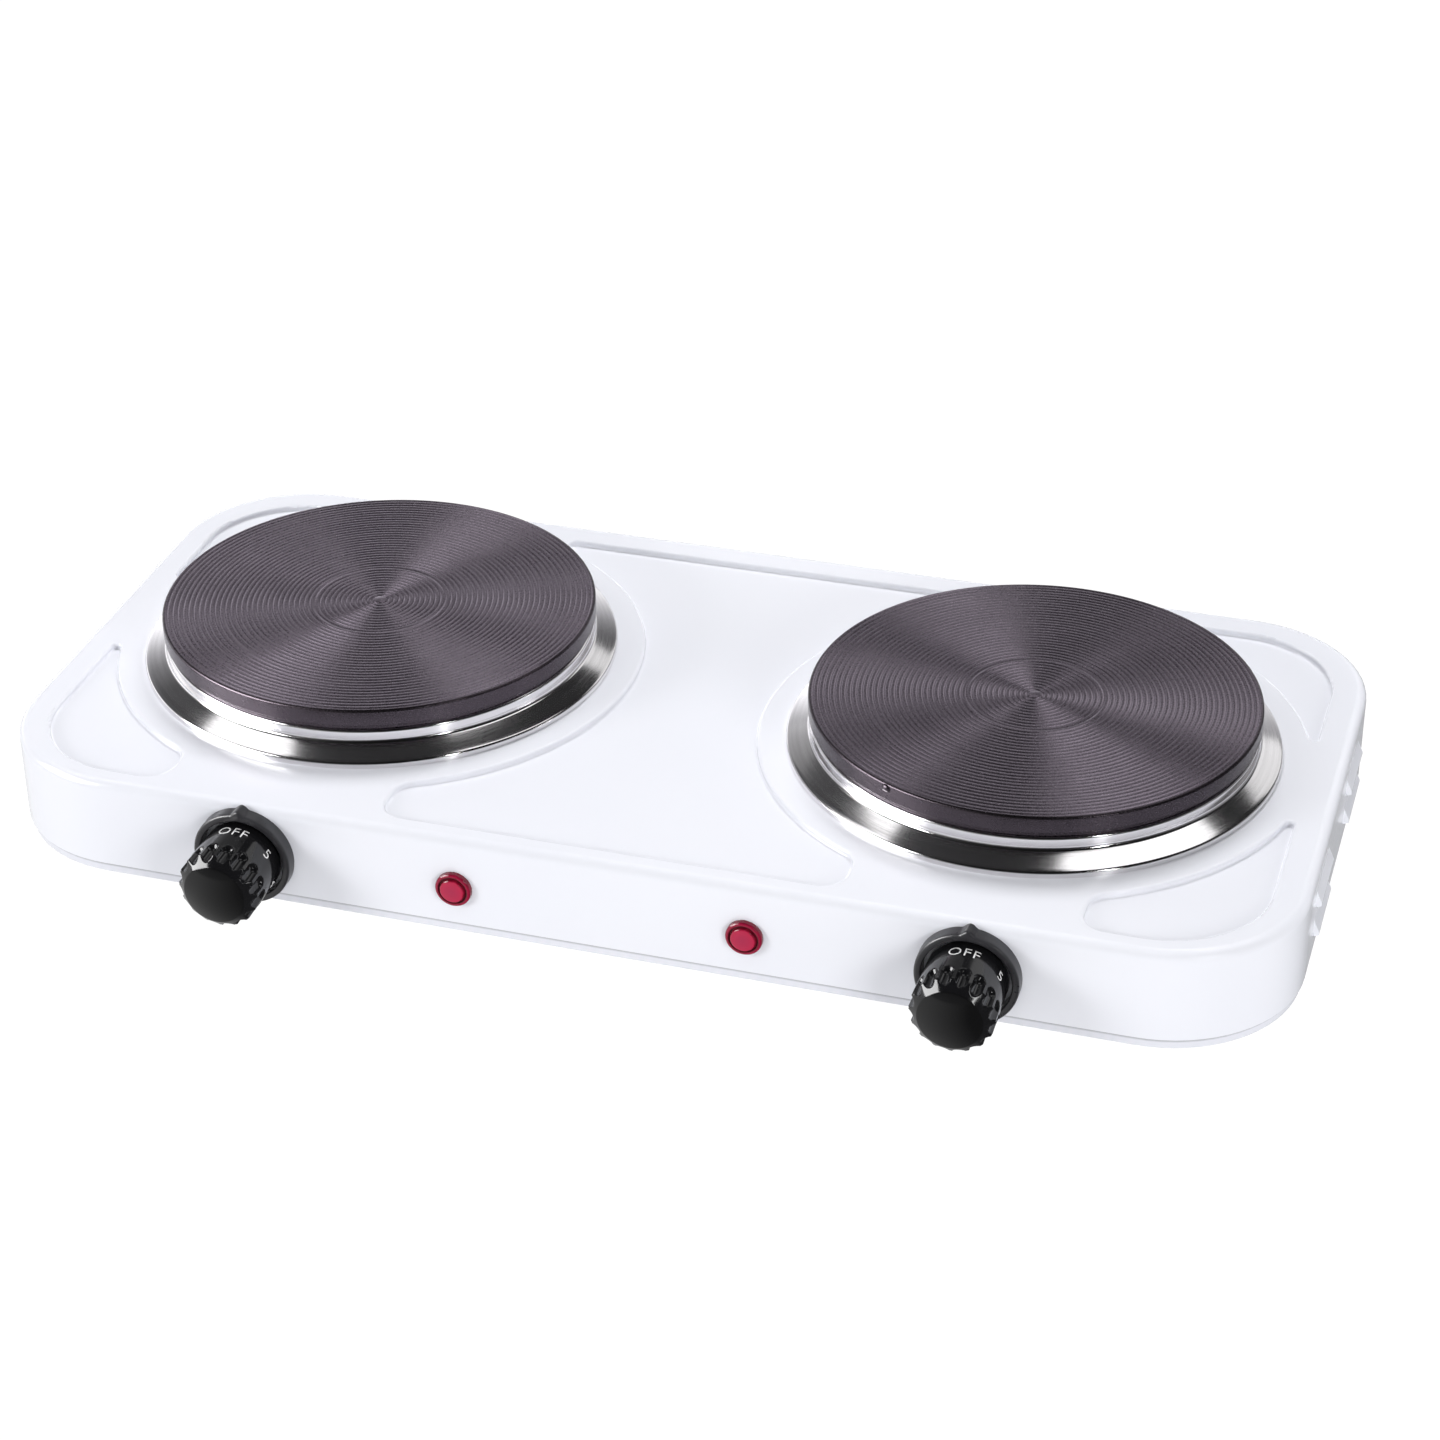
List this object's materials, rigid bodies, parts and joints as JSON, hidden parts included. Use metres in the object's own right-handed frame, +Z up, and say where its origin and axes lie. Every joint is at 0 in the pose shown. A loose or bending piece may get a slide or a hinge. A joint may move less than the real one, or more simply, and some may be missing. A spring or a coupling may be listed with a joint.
{
  "type": "hot plate burner",
  "caption": "Low white electric hot plate with grooved cast-iron burners in stainless rings, scooped front knobs with fixed collars, red pilot lamps and rubber feet.",
  "frame": {"origin": "centre of the outline in plan, at the level of the surface it stands on", "axes": "+X to the right seen from the knobs, +Y to the back, +Z up"},
  "size_m": [0.4558, 0.253, 0.0635],
  "materials": {
    "white_enamel": "gloss stoved white paint",
    "zinc_steel": "zinc-coated sheet",
    "screw_steel": "plated screw steel",
    "stainless": "polished stainless sheet",
    "cast_iron": "turned and heat-blackened",
    "black_gloss": "gloss phenolic",
    "black_satin": "satin",
    "red_lens": "clear red lens",
    "lamp_glass": "neon glow lamp",
    "rubber": "moulded",
    "ivory_plastic": "moulded",
    "ceramic": "steatite",
    "brown_bakelite": "moulded phenolic",
    "brass": "plain",
    "insulation": "pressed mineral disc",
    "heater_alloy": "oxidised heating alloy",
    "wire_brown": "sleeved wire",
    "wire_blue": "sleeved wire",
    "wire_green": "sleeved wire",
    "wire_white": "thin sleeved lead"
  },
  "bodies": {
    "body": {"base_plate": "white_enamel", "base_screws": "screw_steel", "bushing_nuts": "brass", "cord_gland": "black_satin", "earth_lug": "brass", "earth_screw": "screw_steel", "earth_wire": "wire_green", "foot_front_left": "rubber", "foot_front_right": "rubber", "foot_rear_left": "rubber", "foot_rear_right": "rubber", "foot_screws": "screw_steel", "lamp_clips": "zinc_steel", "left_bezel": "black_satin", "left_clamp_bridge": "zinc_steel", "left_contact_blades": "brass", "left_cover_plate": "zinc_steel", "left_heating_coil": "heater_alloy", "left_hot_plate": "cast_iron", "left_insulation": "insulation", "left_lamp_bulb": "lamp_glass", "left_lamp_leads": "wire_white", "left_lamp_lens": "red_lens", "left_live_wire": "wire_brown", "left_load_wire": "wire_brown", "left_neutral_wire": "wire_blue", "left_plate_terminal": "ceramic", "left_regulator_bracket": "zinc_steel", "left_regulator_case": "brown_bakelite", "left_trim_ring": "stainless", "plate_pins": "brass", "plate_studs": "screw_steel", "right_bezel": "black_satin", "right_clamp_bridge": "zinc_steel", "right_contact_blades": "brass", "right_cover_plate": "zinc_steel", "right_heating_coil": "heater_alloy", "right_hot_plate": "cast_iron", "right_insulation": "insulation", "right_lamp_bulb": "lamp_glass", "right_lamp_leads": "wire_white", "right_lamp_lens": "red_lens", "right_live_wire": "wire_brown", "right_load_wire": "wire_brown", "right_neutral_wire": "wire_blue", "right_plate_terminal": "ceramic", "right_regulator_bracket": "zinc_steel", "right_regulator_case": "brown_bakelite", "right_trim_ring": "stainless", "stud_nuts": "screw_steel", "terminal_block": "ivory_plastic", "terminal_screws": "brass", "top_housing": "white_enamel"},
    "left_dial": {"left_knob": "black_gloss", "left_spindle": "screw_steel"},
    "right_dial": {"right_knob": "black_gloss", "right_spindle": "screw_steel"},
    "left_lever": {"left_setting_arm": "brass"},
    "right_lever": {"right_setting_arm": "brass"}
  },
  "joints": [
    {"name": "left_knob_turn", "type": "hinge", "parent": "body", "child": "left_dial", "pos_m": [-0.125, -0.097, 0.0266], "axis": [0, 1, 0], "range_deg": [0, 300]},
    {"name": "right_knob_turn", "type": "hinge", "parent": "body", "child": "right_dial", "pos_m": [0.125, -0.097, 0.0266], "axis": [0, 1, 0], "range_deg": [0, 300]},
    {"name": "left_setting_lever", "type": "hinge", "parent": "body", "child": "left_lever", "pos_m": [-0.139, -0.087, 0.03365], "axis": [0, -1, 0], "range_deg": [0, 6.55]},
    {"name": "right_setting_lever", "type": "hinge", "parent": "body", "child": "right_lever", "pos_m": [0.111, -0.087, 0.03365], "axis": [0, -1, 0], "range_deg": [0, 6.55]}
  ],
  "couplings": [
    {"joint": "left_setting_lever", "follows": "left_knob_turn", "ratio": 0.021814},
    {"joint": "right_setting_lever", "follows": "right_knob_turn", "ratio": 0.021814}
  ]
}
